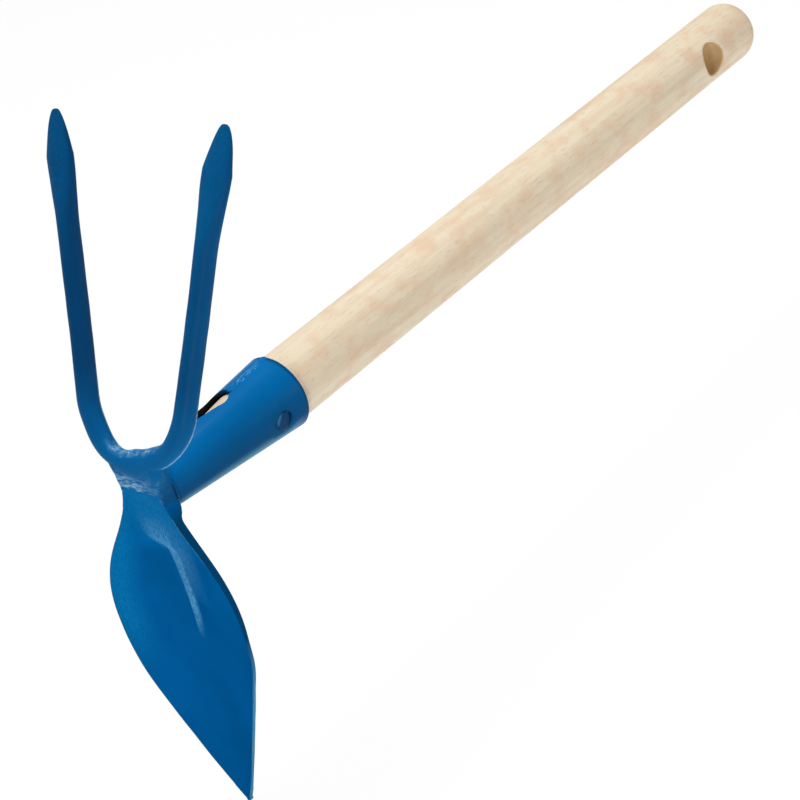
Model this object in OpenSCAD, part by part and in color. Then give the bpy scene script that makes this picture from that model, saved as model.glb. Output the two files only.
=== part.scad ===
// Warren hoe: a two-prong fork and a leaf blade on one socketed head, with a turned wooden handle.
// Millimetres. The origin is the centre of the socket mouth, +X runs along the handle to its butt,
// +Z points to the fork tips, and Y runs across the fork.

/* [Handle] */
// Diameter of the handle
handle_d = 28; // [24:0.5:34]
// Length of the handle outside the socket
handle_len = 335; // [220:5:600]
// Length of the end inside the socket
tang_len = 46; // [40:1:60]
// Length of the pointed nose of that end
nose_len = 22; // [10:1:26]
// Diameter of the nose at its tip
nose_tip_d = 9; // [5:0.5:12]
// Radius of the rounded butt
butt_round = 11.5; // [4:0.5:11.5]
// Diameter of the hanging hole
hang_d = 15; // [6:0.5:16]
// Distance from the butt to the centre of the hanging hole
hang_from_butt = 39; // [25:1:60]
// Turn of the hanging hole about the handle, up from level
hang_turn = 8; // [-30:1:30]

/* [Socket] */
// Length of the socket
socket_len = 70; // [62:1:90]
// Thickness of the rolled sheet
socket_wall = 1.6; // [1.2:0.1:2.4]
// Outer diameter at the head end
socket_front_d = 21; // [19:0.5:23]
// Radial gap between the wood and the socket
handle_gap = 0.1; // [0.05:0.05:0.3]
// Width of the open part of the seam at its wide end
slot_w = 13; // [5:0.5:14]
// Width of the open part of the seam at its narrow end
slot_tip_w = 2; // [1:0.5:4]
// Length of the open part of the seam
slot_len = 28; // [20:1:34]
// Distance from the mouth to the wide end of the open seam
slot_from_mouth = 21.5; // [18:0.5:34]
// Turn of the seam about the handle, from the top towards +Y
slot_turn = 18; // [-40:1:40]
// Width of the closed part of the seam
seam_w = 3; // [1.5:0.5:4]
// Place of the closed part across the width of the open part, from side to side
seam_side = -0.7; // [-1:0.1:1]
// Height of the seam weld over the socket
seam_rise = 0.6; // [0.2:0.1:1.2]

/* [Nail] */
// Distance from the mouth to the fixing nail
nail_from_mouth = 12.5; // [9:0.5:16]
// Turn of the nail about the handle, up from level
nail_turn = -11; // [-30:1:20]
// Diameter of the nail head
nail_head_d = 7.4; // [4.5:0.1:8]
// Diameter of the nail shank
nail_shank_d = 3; // [2:0.1:4]
// Length of the nail shank below the head
nail_len = 18; // [10:1:20]
// Radial gap round the nail head in the socket
nail_gap = 0.3; // [0.1:0.05:0.6]
// Radial gap round the shank in the wood
nail_fit = 0.02; // [0.01:0.01:0.05]
// Depth of the head below the socket's outside
nail_recess = 0.5; // [0.2:0.1:0.8]
// Depth of the seat that the head presses into the wood
nail_seat = 0.6; // [0.5:0.1:1]

/* [Fork] */
// Width of the bar, in the plane of the fork
bar_w = 7.2; // [6:0.1:8.5]
// Width of the bar at the middle of the bend
bend_w = 12; // [8.5:0.1:14]
// Distance each way from the middle of the bend to where the bar has its own width again
bend_spread = 13; // [10:0.5:30]
// Depth of the bar, square to the plane of the fork
bar_t = 7; // [6:0.1:8.5]
// Radius of the bend, on the middle of the bar
bend_r = 26; // [20:0.5:34]
// Lean of each tine outwards
splay = 9.6; // [4:0.1:16]
// Lean of the fork back over the handle
lean = 23.2; // [10:0.1:30]
// Straight length of each tine, from the bend to its tip
tine_len = 105; // [70:1:140]
// Width of the spear point at its shoulders
spear_w = 13; // [9:0.1:14]
// Depth of the spear point at its shoulders
spear_t = 5; // [3:0.1:7]
// Length from the shoulders to the tip
spear_len = 19; // [12:1:26]
// Length over which the bar spreads into the shoulders
spear_blend = 30; // [10:1:40]
// Height of the middle of the bend over the handle's axis
fork_rise = 15; // [14:0.5:18]
// Distance from the front of the blade's neck back to the middle of the bend
fork_set = 2.4; // [1.5:0.1:4]

/* [Blade] */
// Width of the neck under the fork
neck_top_w = 16.5; // [14:0.5:20]
// Width of the neck where the blade starts to widen
neck_w = 21; // [18:0.5:26]
// Thickness of the neck
neck_t = 7; // [6:0.5:9]
// Thickness of the blade just below the neck
root_t = 4.2; // [4:0.2:5.8]
// Height of the heel behind the fork's bend, over the socket's end
heel_rise = 0.5; // [0:0.1:1]
// Depth below the handle's axis where the blade starts to widen
flare_at = 6; // [3:0.5:11]
// Depth below the handle's axis where the blade is widest
widest_at = 55; // [40:1:80]
// Depth of the blade's tip below the handle's axis
blade_drop = 144; // [110:1:180]
// Width of the blade
blade_w = 70.5; // [50:0.5:90]
// Thickness of the blade
blade_t = 2; // [1.6:0.1:4]
// Lean of the blade back under the handle
rake = 0.5; // [-2:0.1:4]
// Depth of the hollow along the middle of the front
hollow = 6.5; // [0:0.5:8]
// Forward bow of the side edges
edge_bow = 4.2; // [0:0.2:6]

/* [Welds] */
// Height of the bead between the fork and the blade
neck_bead_h = 8; // [5:0.5:10]
// Swell of that bead in front of the neck
neck_bead_swell = 2.2; // [0.5:0.1:3]
// Leg of the bead round the socket's head end
socket_bead_leg = 1.4; // [1.2:0.1:3.5]
// Gap between a bead and the pieces that it joins
weld_gap = 0.05; // [0.02:0.01:0.1]
// Distance between the ripples of a bead
ripple_pitch = 2.6; // [2:0.1:4]
// Height of the ripples
ripple_h = 0.25; // [0:0.05:0.4]

/* [Hidden] */

// Colours of the finishes
beech = [0.84, 0.77, 0.67];
enamel = [0.02, 0.35, 0.60];
enamel_dark = [0.02, 0.22, 0.40];

// Overshoot of a cutting tool
over = 1;
round_fn = 96;

// Radii of the handle and of the socket cone
handle_r = handle_d / 2;
mouth_in = handle_r + handle_gap;
mouth_out = mouth_in + socket_wall;
front_out = socket_front_d / 2;
front_in = front_out - socket_wall;
cone_slope = (mouth_out - front_out) / socket_len;
nose_x = nose_len - tang_len;
nose_r = handle_r + cone_slope * nose_x;

// Places along the handle
slot_x = -slot_from_mouth - slot_w / 2;
slot_tip_x = -slot_from_mouth - slot_len + slot_tip_w / 2;
hang_x = handle_len - hang_from_butt;
nail_x = -nail_from_mouth;
nail_out = mouth_out - cone_slope * nail_from_mouth - nail_recess;
nail_in = handle_r - cone_slope * nail_from_mouth - nail_seat;
nail_head_t = nail_out - nail_in;
nail_bevel = 0.4;
nail_point = nail_shank_d;

// The neck of the blade stands on the socket's end
neck_back = -socket_len;
neck_front = neck_back - neck_t;

// The fork's path, measured along the middle of the bar from the middle of the bend
arc_deg = 90 - splay;
arc_len = bend_r * arc_deg * PI / 180;
half_path = arc_len + tine_len;
fork_x = neck_front + fork_set;
tip_r = 0.6;
tip_full = 0.45;
corner_soft = 0.55;
arc_steps = 28;
tine_steps = 8;
blend_steps = 8;
spear_steps = 8;
section_sides = 20;

// Steps of the blade's skin, and where its hollow begins
neck_rows = 6;
neck_drop = 2;
blade_rows = 40;
half_cols = 9;
tip_w = 0.7;
row_crowd = 1.1;
hollow_lead = 7;
hollow_ramp = 14;
hollow_from = flare_at + hollow_lead;
// Rounding of the waist between the neck and the blade
waist_round = 5;
// Depth where the neck's back steps in, along its sides and along its middle
step_side = 1.5;
step_mid = 9;
step_len = 6;
// Fullness of the lower edges, and roundness of the shoulders
belly = 0.45;
shoulder = 0.5;
// The crease along the middle is sharp at the neck and soft below mid blade
crease_sharp = 0.75;
crease_soft = 1.8;
crease_from = 0.5 * widest_at;
crease_to = 1.5 * widest_at;

// Steps of the weld beads, their fullness, and how far the neck's bead climbs round the bar
bead_steps_per_ripple = 4;
bead_arc_steps = 6;
neck_bead_half = neck_top_w / 2;
neck_bead_climb = 62;
neck_bead_backs = 5;
neck_bead_end = 0.2;
neck_bead_square = 4;
socket_bead_full = 0.7;

function clamp01(t) = max(0, min(1, t));
function smooth(t) = let (c = clamp01(t)) c * c * (3 - 2 * c);

// A closed skin over a list of rings, each with the same even number of points
module skin(rings, closed = false) {
    n = len(rings[0]);
    m = len(rings);
    last = closed ? m - 1 : m - 2;
    sides = [
        for (i = [0 : last], k = [0 : n - 1])
        let (a = i * n + k, b = i * n + (k + 1) % n, j = (i + 1) % m)
        let (c = j * n + (k + 1) % n, d = j * n + k)
        each [[a, d, c], [a, c, b]]
    ];
    end = (m - 1) * n;
    caps = closed ? [] : [
        for (k = [0 : n / 2 - 2])
        let (a = k, b = k + 1, c = n - 2 - k, d = n - 1 - k)
        each [[a, b, c], [a, c, d], [end + c, end + b, end + a], [end + d, end + c, end + a]]
    ];
    polyhedron(points = [for (r = rings) each r], faces = concat(sides, caps), convexity = 8);
}

// A cone along the handle, from the head end to the mouth
module socket_cone(r_front, r_mouth, extra = 0) {
    translate([-socket_len - extra, 0, 0])
        rotate([0, 90, 0])
        cylinder(
            h = socket_len + 2 * extra,
            r1 = r_front - cone_slope * extra,
            r2 = r_mouth + cone_slope * extra,
            $fn = round_fn
        );
}

// The straight key that closes the seam between the slot and the mouth
module seam_key(extra = 0) {
    rotate([-slot_turn, 0, 0])
        translate([slot_x, seam_side * (slot_w - seam_w) / 2 - seam_w / 2, 0])
        cube([-slot_x + extra, seam_w, handle_d]);
}

// The open part of the seam, round at both ends and narrower towards the head
module seam_slot() {
    rotate([-slot_turn, 0, 0]) {
        linear_extrude(height = handle_d)
            polygon([
                [slot_x, -slot_w / 2],
                [slot_x, slot_w / 2],
                [slot_tip_x, slot_tip_w / 2],
                [slot_tip_x, -slot_tip_w / 2]
            ]);
        translate([slot_x, 0, 0])
            cylinder(h = handle_d, d = slot_w, $fn = round_fn);
        translate([slot_tip_x, 0, 0])
            cylinder(h = handle_d, d = slot_tip_w, $fn = round_fn);
    }
}

// Stands its children on the handle's axis, pointing out to the -Y side
module sideways(x, turn) {
    translate([x, 0, 0])
        rotate([90 - turn, 0, 0])
        children();
}

// Turned beech handle with a pointed end in the socket, a domed butt and a hanging hole
module handle() {
    color(beech)
    difference() {
        rotate([0, 90, 0])
            rotate_extrude($fn = round_fn) {
                polygon([
                    [0, -tang_len],
                    [nose_tip_d / 2, -tang_len],
                    [nose_r, nose_x],
                    [handle_r, 0],
                    [handle_r, handle_len - butt_round],
                    [0, handle_len - butt_round]
                ]);
                square([handle_r - butt_round, handle_len]);
                translate([handle_r - butt_round, handle_len - butt_round])
                    intersection() {
                        circle(r = butt_round, $fn = round_fn);
                        square(butt_round);
                    }
            }
        sideways(hang_x, hang_turn)
            cylinder(h = handle_d + 2 * over, d = hang_d, center = true, $fn = round_fn);
        sideways(nail_x, nail_turn) {
            translate([0, 0, nail_in - nail_len])
                cylinder(h = nail_len + over, r = nail_shank_d / 2 + nail_fit, $fn = round_fn);
            translate([0, 0, nail_in])
                cylinder(h = handle_r, r = nail_head_d / 2 + nail_gap, $fn = round_fn);
        }
    }
}

// Rolled sheet socket with its seam, open in the middle, and the nail's hole
module socket() {
    color(enamel)
    difference() {
        socket_cone(front_out, mouth_out);
        socket_cone(front_in, mouth_in, over);
        seam_slot();
        seam_key(over);
        sideways(nail_x, nail_turn)
            cylinder(h = handle_d, r = nail_head_d / 2 + nail_gap, $fn = round_fn);
    }
}

// Weld that closes the seam from the slot's end to the mouth
module seam_weld() {
    color(enamel_dark)
    difference() {
        intersection() {
            socket_cone(front_out + seam_rise, mouth_out + seam_rise);
            seam_key();
        }
        socket_cone(front_in, mouth_in, over);
        seam_slot();
    }
}

// Nail that holds the socket to the wood
module fixing_nail() {
    color(enamel_dark)
    sideways(nail_x, nail_turn)
        translate([0, 0, nail_in])
        rotate_extrude($fn = round_fn)
        polygon([
            [0, nail_head_t],
            [nail_head_d / 2 - nail_bevel, nail_head_t],
            [nail_head_d / 2, nail_head_t - nail_bevel],
            [nail_head_d / 2, 0],
            [nail_shank_d / 2, 0],
            [nail_shank_d / 2, nail_point - nail_len],
            [0, -nail_len]
        ]);
}

// Angle that the bar has turned through at a distance along its path
function fork_turn(d) = min(abs(d), arc_len) / bend_r * 180 / PI;
// Middle of the bar in the plane of the fork, across and up
function fork_mid(d) =
    let (a = fork_turn(d), e = max(0, abs(d) - arc_len))
    [sign(d) * (bend_r * sin(a) + e * cos(a)), bend_r * (1 - cos(a)) + e * sin(a)];
// Direction from the middle of the bar to the outside of the bend
function fork_out(d) = let (a = fork_turn(d)) [sign(d) * sin(a), -cos(a)];
// A point of the fork's plane, raised off it to the front
function fork_point(p, off) = [
    fork_x + p[1] * sin(lean) - off * cos(lean),
    p[0],
    fork_rise + p[1] * cos(lean) + off * sin(lean)
];
// Share of the way from the bar to the spear's shoulders
function spread(e) = 1 - smooth((e - spear_len) / spear_blend);
// Width of the bar along its path, widest at the middle of the bend
function bar_width(d) = bar_w + (bend_w - bar_w) * smooth(1 - abs(d) / bend_spread);
// Half width and half depth of the bar at a distance from its tip
function fork_half(e, bar, spear, curve) =
    e < spear_len
    ? tip_r + (spear / 2 - tip_r) * pow(max(0, e) / spear_len, curve)
    : (bar + (spear - bar) * spread(e)) / 2;
// Rounded square section
section_angles = [for (k = [0 : section_sides - 1]) (k + 0.5) * 360 / section_sides];
function soft(c) = sign(c) * pow(abs(c), corner_soft);
function fork_ring(d) =
    let (e = half_path - abs(d), m = fork_mid(d), o = fork_out(d))
    let (hw = fork_half(e, bar_width(d), spear_w, tip_full), ht = fork_half(e, bar_t, spear_t, 1))
    [
        for (a = section_angles)
        fork_point(m + o * hw * soft(cos(a)), ht * soft(sin(a)))
    ];
// Distances along one half of the path at which the skin has a ring
blend_at = half_path - spear_len - spear_blend;
half_stops = concat(
    [for (i = [1 : arc_steps]) arc_len * i / arc_steps],
    [for (i = [1 : tine_steps]) arc_len + (blend_at - arc_len) * i / tine_steps],
    [for (i = [1 : blend_steps]) blend_at + spear_blend * i / blend_steps],
    [for (i = [1 : spear_steps]) half_path - spear_len + spear_len * i / spear_steps]
);
fork_stops = concat(
    [for (i = [len(half_stops) - 1 : -1 : 0]) -half_stops[i]],
    [0],
    half_stops
);

// Two-prong fork bent from one bar, with spear points
module fork() {
    color(enamel)
    skin([for (d = fork_stops) fork_ring(d)]);
}

// Depth of the bar below its middle, as it leans
section_step = 3 * bar_t / section_sides;
bar_below = max([
    for (a = section_angles)
    bend_w / 2 * soft(cos(a)) * cos(lean) + bar_t / 2 * soft(sin(a)) * sin(lean)
]);
// Height of the ledge that carries the bend
ledge = fork_rise - bar_below - weld_gap;
// Radius from the centre of the bend to a share of the bar's half width, at a place across the fork
function bend_radius(y, share, hw = bend_w / 2, tries = 3) =
    let (r = bend_r + share * hw, d = bend_r * asin(y / r) * PI / 180)
    tries == 0 ? r : bend_radius(y, share, bar_width(d) / 2, tries - 1);
// Height of that place in the plane of the fork, over the middle of the bend, with a gap outside it
function bend_up(y, share, gap = 0) =
    let (r = bend_radius(y, share) + gap)
    bend_r - sqrt(r * r - y * y);
// Rise of the bend's underside towards the tines
function under_rise(y) = bend_up(y, 1, weld_gap) - bend_up(0, 1, weld_gap);

// Half width of the neck and of the blade at a depth below the handle's axis
function flare_share(h) = (h - flare_at) / (widest_at - flare_at);
function neck_half(h) =
    let (share = clamp01((h + ledge) / (flare_at + ledge)))
    (neck_top_w + (neck_w - neck_top_w) * share) / 2;
function flare_half(h) = neck_w / 2 + (blade_w - neck_w) / 2 * sin(90 * flare_share(h));
function blade_half(h) =
    h < widest_at
    ? let (a = neck_half(h), b = flare_half(h), k = waist_round * (1 - clamp01(flare_share(h))))
      (a + b + sqrt((a - b) * (a - b) + k * k)) / 2
    : let (t = clamp01((h - widest_at) / (blade_drop - widest_at)))
      max(tip_w, blade_w / 2 * (1 - t) * (1 + t * (belly + shoulder * pow(1 - t, 3))));
// Thickness, which steps in from the neck to the blade lower down in the middle than at the sides
function blade_thick(h, s) =
    let (step_at = step_mid + (step_side - step_mid) * s * s)
    let (neck_share = 1 - smooth((h - step_at) / step_len), root_share = 1 - clamp01(h / widest_at))
    blade_t + (root_t - blade_t) * root_share + (neck_t - root_t) * neck_share;
// Front of the blade along its edge, along its middle, and between them
function plain_front(h) = neck_front + tan(rake) * max(0, h - flare_at);
function edge_front(h) =
    plain_front(h) - edge_bow * sin(180 * clamp01((h - flare_at) / (blade_drop - flare_at)));
function mid_front(h) =
    let (share = clamp01((h - hollow_from) / (blade_drop - hollow_from)))
    plain_front(h) + hollow * sin(180 * sqrt(share)) * smooth((h - hollow_from) / hollow_ramp);
function crease(h) =
    crease_sharp + (crease_soft - crease_sharp) * smooth((h - crease_from) / (crease_to - crease_from));
function blade_front(h, s) =
    mid_front(h) + (edge_front(h) - mid_front(h)) * pow(abs(s), crease(h));
function blade_ring(h) = [
    for (j = [-half_cols : half_cols])
        let (s = j / half_cols)
        [blade_front(h, s), blade_half(h) * s, -h],
    for (j = [half_cols : -1 : -half_cols])
        let (s = j / half_cols)
        [blade_front(h, s) + blade_thick(h, s), blade_half(h) * s, -h]
];
// The top of the neck: a ring from a front plane to the back, at a height that follows the bend
function neck_ring(x_front, height, follow = 0) = [
    for (j = [-half_cols : half_cols])
        let (y = neck_top_w / 2 * j / half_cols)
        [x_front + follow * under_rise(y) * sin(lean), y, height + under_rise(y) * cos(lean)],
    for (j = [half_cols : -1 : -half_cols])
        let (y = neck_top_w / 2 * j / half_cols)
        [neck_back, y, height + under_rise(y) * cos(lean)]
];
heel_top = max(front_out, ledge) + heel_rise;
// The heel stands close behind the back of the bar, up to its own top
heel_front = weld_gap + max([
    for (a = section_angles)
    let (out = bend_w / 2 * soft(cos(a)), off = bar_t / 2 * soft(sin(a)))
    if (fork_rise - out * cos(lean) + off * sin(lean) < heel_top + section_step)
    fork_x - out * sin(lean) - off * cos(lean)
]);
neck_rings = [
    neck_ring(heel_front, heel_top, 1),
    neck_ring(heel_front, ledge, 1),
    neck_ring(neck_front, ledge - weld_gap)
];
neck_from = neck_drop - ledge;
blade_stops = concat(
    [for (i = [0 : neck_rows - 1]) neck_from + (flare_at - neck_from) * i / neck_rows],
    [for (i = [0 : blade_rows]) flare_at + (blade_drop - flare_at) * pow(i / blade_rows, row_crowd)]
);

// Leaf blade drawn out from a thick neck, which carries the fork's bend on a ledge
module blade() {
    color(enamel)
    skin(concat(neck_rings, [for (h = blade_stops) blade_ring(h)]));
}

// Points of a swelling curve from one point to another, pulled to a third
function swell(p, pull, q) = [
    for (i = [0 : bead_arc_steps])
    let (t = i / bead_arc_steps)
    p * (1 - t) * (1 - t) + pull * 2 * t * (1 - t) + q * t * t
];
function ripple(turns) = ripple_h * cos(360 * turns);

// A place on the bar just outside its section at an angle, from its underside round to its front
function bar_skin(y, a) =
    let (up = bend_up(y, soft(cos(a)), weld_gap), off = bar_t / 2 * soft(sin(a)) + weld_gap)
    let (p = fork_point([y, up], off))
    [p[0], p[2]];
// Section of the bead under the bend at a place across the neck: lengthwise place and height
function neck_bead_section(y, full) =
    let (x = neck_front - weld_gap, s = bend_up(y, 1, weld_gap))
    let (at_neck = (fork_x + s * sin(lean) - x) / cos(lean))
    let (corner = [x, fork_rise + s * cos(lean) + at_neck * sin(lean)])
    let (climb = neck_bead_climb * full / neck_bead_backs)
    let (backs = [for (i = [neck_bead_backs : -1 : 1]) bar_skin(y, climb * i)])
    let (foot = corner - [0, neck_bead_h * full], out = backs[0])
    let (pull = [out[0] - (neck_bead_swell + ripple(y / ripple_pitch)) * full, (foot[1] + out[1]) / 2])
    concat(swell(foot, pull, out), [for (i = [1 : neck_bead_backs - 1]) backs[i]], [corner]);

// Bead across the front, between the fork's bend and the blade's neck
module neck_weld() {
    steps = round(2 * neck_bead_half / ripple_pitch) * bead_steps_per_ripple;
    color(enamel_dark)
    skin([
        for (i = [0 : steps])
        let (t = 2 * i / steps - 1, y = neck_bead_half * t)
        let (full = max(neck_bead_end, sqrt(1 - pow(abs(t), neck_bead_square))))
        [for (p = neck_bead_section(y, full)) [p[0], y, p[1]]]
    ]);
}

// Section of the bead round the socket's end: distance from the axis and lengthwise place
function socket_bead_section(turns) =
    let (x = neck_back + weld_gap, leg = socket_bead_leg + ripple(turns))
    let (r = front_out + weld_gap, corner = [r + cone_slope * weld_gap, x])
    let (on_neck = corner + [leg, 0], on_socket = corner + [cone_slope * leg, leg])
    concat([corner], swell(on_socket, corner + [leg, leg] * socket_bead_full, on_neck));

// Bead round the socket's head end, on the back of the neck
module socket_weld() {
    ripples = round(2 * PI * front_out / ripple_pitch);
    steps = ripples * bead_steps_per_ripple;
    color(enamel_dark)
    skin([
        for (i = [0 : steps - 1])
        let (t = 360 * i / steps)
        [for (p = socket_bead_section(ripples * i / steps)) [p[1], p[0] * cos(t), p[0] * sin(t)]]
    ], closed = true);
}

handle();
socket();
seam_weld();
fixing_nail();
fork();
blade();
neck_weld();
socket_weld();
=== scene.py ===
import math
import bmesh
import bpy
from mathutils import Matrix, Vector, noise


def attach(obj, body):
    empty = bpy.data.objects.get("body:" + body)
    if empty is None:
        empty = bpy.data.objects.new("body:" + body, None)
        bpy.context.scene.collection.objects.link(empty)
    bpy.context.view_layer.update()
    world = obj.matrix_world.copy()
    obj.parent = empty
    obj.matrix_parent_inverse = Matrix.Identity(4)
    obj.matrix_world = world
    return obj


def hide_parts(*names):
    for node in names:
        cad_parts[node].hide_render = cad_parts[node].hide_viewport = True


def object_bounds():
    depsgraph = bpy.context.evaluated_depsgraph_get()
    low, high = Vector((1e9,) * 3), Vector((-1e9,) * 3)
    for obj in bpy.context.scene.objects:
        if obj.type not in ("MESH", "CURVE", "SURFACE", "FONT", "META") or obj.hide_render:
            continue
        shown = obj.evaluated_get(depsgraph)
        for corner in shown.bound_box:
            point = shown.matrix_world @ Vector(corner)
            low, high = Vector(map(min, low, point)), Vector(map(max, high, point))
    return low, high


# A warren hoe: a blue enamelled head with a two-prong fork and a leaf blade, on a turned beech handle.
# The shapes are worked out in millimetres and scaled to metres when a piece is finished. Left is +Y.
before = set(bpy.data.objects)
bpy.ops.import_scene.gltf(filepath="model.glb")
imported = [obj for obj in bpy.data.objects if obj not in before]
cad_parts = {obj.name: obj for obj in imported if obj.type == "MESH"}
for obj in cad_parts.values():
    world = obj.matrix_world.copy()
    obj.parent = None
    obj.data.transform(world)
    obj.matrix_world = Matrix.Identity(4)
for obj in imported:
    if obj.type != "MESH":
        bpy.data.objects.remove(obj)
cad_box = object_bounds()
MM = 0.001
LEFT, RIGHT = 1, -1

# Handle
HANDLE_R = 14.0
HANDLE_END = 335.0
HANDLE_STEPS, SHAFT_STEPS, BUTT_STEPS, RIM_STEPS = 64, 12, 10, 5
HANDLE_WAY = Vector((1.0, 0.0, 0.0))
TANG_LEN, TANG_R, TANG_FROM = 50.0, 12.2, 18.0
NOSE_LEN, NOSE_R, NOSE_TIP_R, NOSE_CHAMFER = 13.0, 10.2, 4.5, 0.8
BUTT_ROUND = 9.5
HANG_X, HANG_R, HANG_RIM = 296.0, 7.5, 1.1
HANG_TURN = math.radians(8)
ACROSS_HOLE = Vector((0.0, -math.cos(HANG_TURN), math.sin(HANG_TURN)))
OVER_HOLE = HANDLE_WAY.cross(ACROSS_HOLE)

# Socket, its underside hammered up towards the neck
SOCKET_LEN = 70.0
MOUTH_OUT, FRONT_OUT = 15.7, 10.5
CONE_SLOPE = (MOUTH_OUT - FRONT_OUT) / SOCKET_LEN
SHEET_EDGE, SHEET_T = 0.45, 1.6
UNDER_RISE = 1.5

# Seam weld, from the open slot to the mouth
SLOT_TURN = math.radians(18)
SLOT_FROM_MOUTH = 21.5
SEAM_ACROSS, SEAM_W, SEAM_H, SEAM_SUNK = -3.5, 1.8, 0.55, 0.25
SEAM_OVERRUN, SEAM_LEAD = 0.6, 0.5
SEAM_RIPPLES, SEAM_RIPPLE, SEAM_LUMP, SEAM_LUMP_LEN = 9, 0.05, 0.15, 3.5
# Share of its length over which the seam's end is rounded, and its least size there
SEAM_END, SEAM_END_LEAST = 0.12, 0.03

# Nail, its head askew in the shallow dimple that driving it left in the sheet
NAIL_X = -12.5
NAIL_TURN = math.radians(-11)
NAIL_OUTWARD = Vector((0.0, -math.cos(NAIL_TURN), math.sin(NAIL_TURN)))
NAIL_HEAD_R, NAIL_SHANK_R, NAIL_LEN, NAIL_POINT = 3.95, 1.5, 18.0, 3.0
NAIL_DOME, NAIL_EDGE_R, NAIL_EDGE_FROM, NAIL_EDGE_TO = 0.35, 0.15, 0.4, 0.6
NAIL_TILT, NAIL_STEPS = 0.06, 40
NAIL_SUNK, NAIL_SEAT = 0.35, 0.6
NAIL_OUT = MOUTH_OUT + CONE_SLOPE * NAIL_X - NAIL_SUNK
NAIL_IN = HANDLE_R + CONE_SLOPE * NAIL_X - NAIL_SEAT
# The dimple is longer towards the head
DIMPLE_R, DIMPLE_DEPTH, DIMPLE_LONGER = 7.0, 1.1, 1.5
DIMPLE_CUTS, CUTS_BEFORE, CUTS_SPAN = 20, 1.6, 2.6

# Fork
BAR_W, BEND_W, BAR_T = 7.2, 12.0, 7.0
BEND_SPREAD, BEND_R = 13.0, 26.0
ARC = math.radians(90 - 9.6)
ARC_LEN = BEND_R * ARC
LEAN = math.radians(23.2)
TINE_LEN = 105.0
HALF_PATH = ARC_LEN + TINE_LEN
SPEAR_W, SPEAR_T, SPEAR_LEN, SPEAR_BLEND = 14.2, 5.0, 17.0, 30.0
TIP_R, TIP_T, TIP_FULL = 0.9, 0.5, 0.5
# How far corners are rounded, from 0 for square to 1 for round: as forged, and under the dipped coat
CORNER_SOFT, COATED_SOFT = 0.55, 0.92
COAT, COAT_FROM, COAT_RUN = 0.65, 15.0, 20.0
FORK_MARK, FORK_MARK_DEPTH = 9.0, 0.22
# Bending by hand left a sag on one side of the bend and each tine a little different: where it starts to
# stand closer, how far its spear point leans inwards and its tip to the right, how far its end is bent
# back and how much longer it was drawn
SAG, SAG_AT = 1.3, 14.0
CLOSER, CLOSER_RUN = 0.55, 40.0
SPEAR_IN_FROM, SPEAR_IN_RUN = 98.0, 24.0
BACK_FROM, BACK_RUN = 90.0, 50.0
LONGER_FROM, LONGER_RUN = 60.0, 60.0
TINES = {
    LEFT: {"closer_from": 20.0, "spear_in": 0.25, "tip_right": 0.3, "back": -0.35, "longer": 0.0},
    RIGHT: {"closer_from": 66.0, "spear_in": 0.45, "tip_right": 0.7, "back": 1.7, "longer": 0.7},
}
# Thicker and thinner places of the bar, each with its height, its place along the bar and its reach: in
# the coat, on the outside of the bend and in the weld metal on its inside
COAT_LUMPS = [(0.3, -24.0, 22.0)]
OUTER_LUMPS = [(0.55, 20.0, 14.0)]
INNER_LUMPS = [(0.3, 0.0, 30.0), (1.4, -12.0, 9.0), (-1.3, 4.0, 12.0), (0.8, 20.0, 15.0)]

# Blade and neck
NECK_BACK = -SOCKET_LEN
NECK_TOP_W, NECK_W, NECK_T, ROOT_T = 16.5, 21.0, 7.0, 4.2
NECK_FRONT = NECK_BACK - NECK_T
NECK_CORNER = 1.0
FORK_SET_BACK, FORK_RISE = 2.4, 15.0
FORK_X = NECK_FRONT + FORK_SET_BACK
FLARE_AT, WIDEST_AT, BLADE_DROP = 6.0, 55.0, 144.0
BLADE_W, BLADE_T, BLADE_TIP_R, BLADE_EDGE = 70.5, 2.0, 0.7, 0.45
# The tip stops this far short, so that it stays inside the CAD box
TIP_SPARE = 0.01
# Hammer marks lie on the leaf, but not on the last of the tip
BLADE_MARK, BLADE_MARK_DEPTH, TIP_PLAIN = 13.0, 0.35, 8.0
RAKE = math.radians(0.5)
HEEL_OVER, HEEL_T, LEDGE_T = 0.5, 0.9, 2.0
HOLLOW, EDGE_BOW = 6.5, 4.2
HOLLOW_FROM, HOLLOW_RAMP = FLARE_AT + 7.0, 14.0
WAIST_ROUND = 5.0
ROOT_FADE = 55.0
STEP_SIDE, STEP_MID, STEP_LEN = 3.0, 9.0, 6.0
BELLY, SHOULDER = 0.45, 0.5
CREASE_SHARP, CREASE_SOFT = 0.75, 1.8
CREASE_FROM, CREASE_TO = 0.5 * WIDEST_AT, 1.5 * WIDEST_AT
# The crease was folded a little to one side of the middle, from below the neck to near the tip
CREASE_SIDE, CREASE_SIDE_FROM, CREASE_SIDE_RUN = 2.2, 10.0, 12.0
CREASE_SIDE_TO, CREASE_SIDE_FADE = 125.0, 40.0
# The lower blade was drawn out a little to one side, and less so at the tip
LEAF_SIDE, LEAF_SIDE_FROM, LEAF_SIDE_RUN = 0.5, 62.0, 30.0
TIP_RETURN, TIP_RETURN_FROM, TIP_RETURN_RUN = 0.4, 122.0, 20.0
# Grinding by hand left places of the outline fuller or leaner: by how much, at what depth and how far
GROUND = {
    LEFT: [(0.5, 9.0, 10.0), (-0.4, 52.0, 20.0), (1.1, 82.0, 20.0), (-0.4, 116.0, 22.0)],
    RIGHT: [(1.8, 29.0, 30.0), (0.6, 65.0, 14.0), (-0.3, 108.0, 30.0)],
}

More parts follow.
